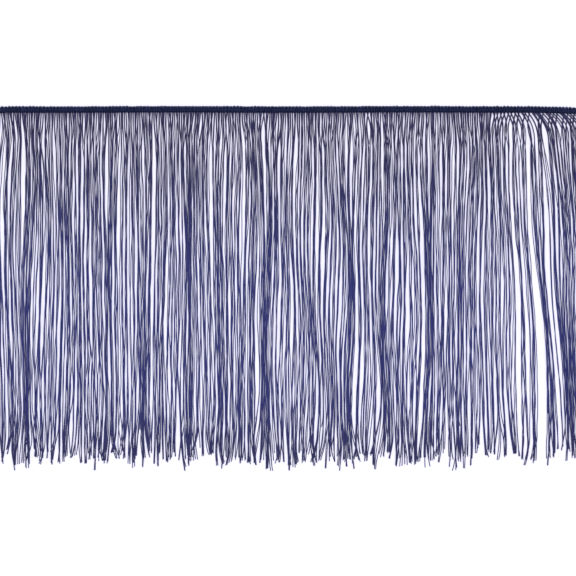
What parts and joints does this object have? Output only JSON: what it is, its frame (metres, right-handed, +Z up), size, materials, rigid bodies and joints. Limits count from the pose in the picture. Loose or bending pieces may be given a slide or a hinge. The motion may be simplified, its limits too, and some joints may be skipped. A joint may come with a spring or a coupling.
{
  "type": "fringe trim",
  "caption": "Cut length of long navy yarn fringe on a narrow, scalloped knitted heading, lying flat; sewn along a cloth's edge as trim.",
  "frame": {"origin": "on the surface that the trim lies on, under the middle of the whole trim", "axes": "+X along the heading, +Y towards the heading's scalloped edge, +Z up from the surface, out of the trim's face"},
  "size_m": [0.52, 0.312, 0.0019],
  "materials": {
    "heading_yarn": "tight knit, dull",
    "fringe_yarn": "twisted yarn, soft sheen"
  },
  "bodies": {
    "root": {"heading": "heading_yarn", "fringe": "fringe_yarn"}
  },
  "joints": []
}
